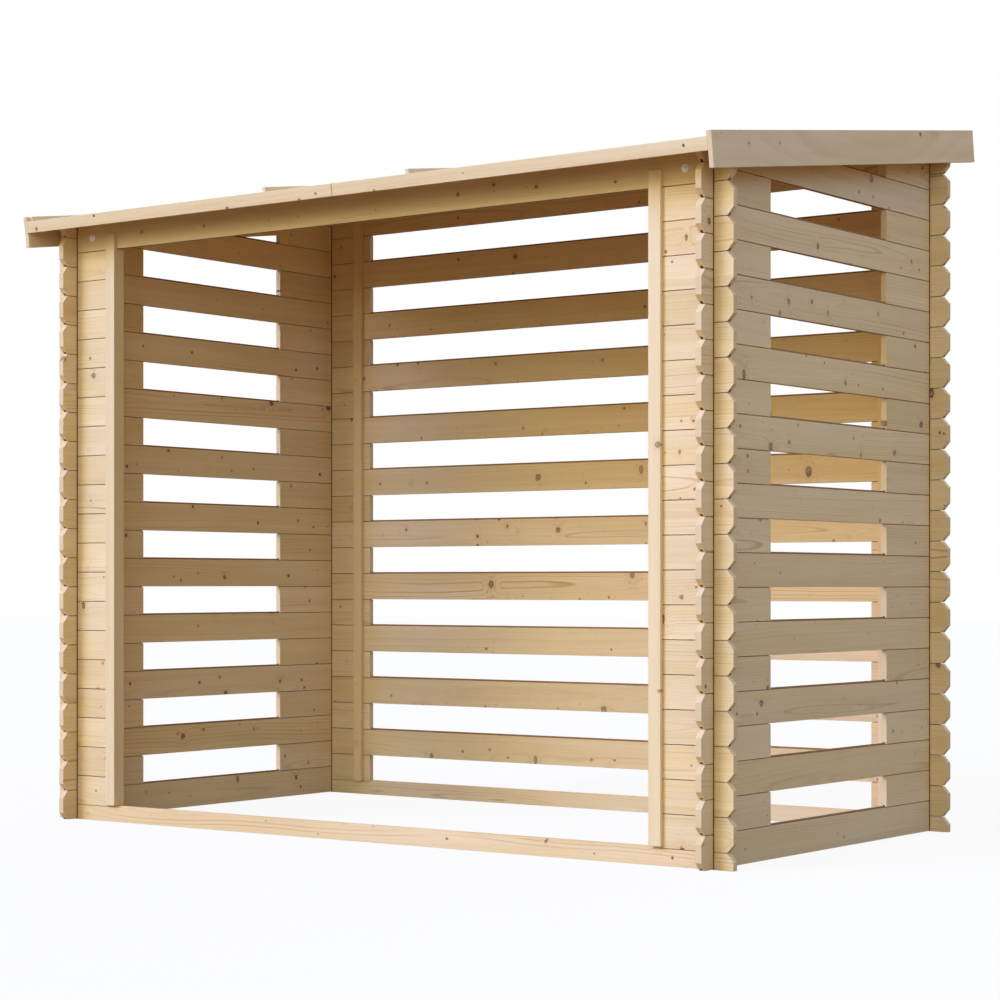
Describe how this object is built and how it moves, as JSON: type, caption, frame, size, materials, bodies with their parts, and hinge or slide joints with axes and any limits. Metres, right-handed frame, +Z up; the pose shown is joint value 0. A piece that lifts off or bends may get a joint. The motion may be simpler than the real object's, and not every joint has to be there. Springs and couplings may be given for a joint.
{
  "type": "log store",
  "caption": "Open-fronted timber log store with interlocked log corners, slatted side and back walls and a lean-to roof that falls to the front.",
  "frame": {"origin": "on the ground, under the middle of the roof", "axes": "+X along the front to the right, +Y to the back, +Z up"},
  "size_m": [2.639, 1.6018, 2.2163],
  "materials": {
    "log_timber": "planed, untreated spruce",
    "post_timber": "planed, untreated spruce",
    "deck_timber": "planed, untreated spruce boards",
    "roof_trim_timber": "planed, untreated spruce"
  },
  "bodies": {
    "root": {"back_fascia_left": "roof_trim_timber", "back_fascia_right": "roof_trim_timber", "back_left_batten": "post_timber", "back_left_blocks": "log_timber", "back_rails": "log_timber", "back_right_batten": "post_timber", "back_right_blocks": "log_timber", "back_sill": "log_timber", "back_top_log": "log_timber", "front_fascia_left": "roof_trim_timber", "front_fascia_right": "roof_trim_timber", "front_header": "log_timber", "front_left_logs_even": "log_timber", "front_left_logs_odd": "log_timber", "front_right_logs_even": "log_timber", "front_right_logs_odd": "log_timber", "front_sill": "log_timber", "left_back_blocks": "log_timber", "left_barge_board": "roof_trim_timber", "left_front_blocks": "log_timber", "left_post": "post_timber", "left_rails": "log_timber", "left_roof_batten": "roof_trim_timber", "left_top_wedge": "log_timber", "mid_left_roof_batten": "roof_trim_timber", "mid_right_roof_batten": "roof_trim_timber", "right_back_blocks": "log_timber", "right_barge_board": "roof_trim_timber", "right_front_blocks": "log_timber", "right_post": "post_timber", "right_rails": "log_timber", "right_roof_batten": "roof_trim_timber", "right_top_wedge": "log_timber", "roof_deck": "deck_timber"}
  },
  "joints": []
}
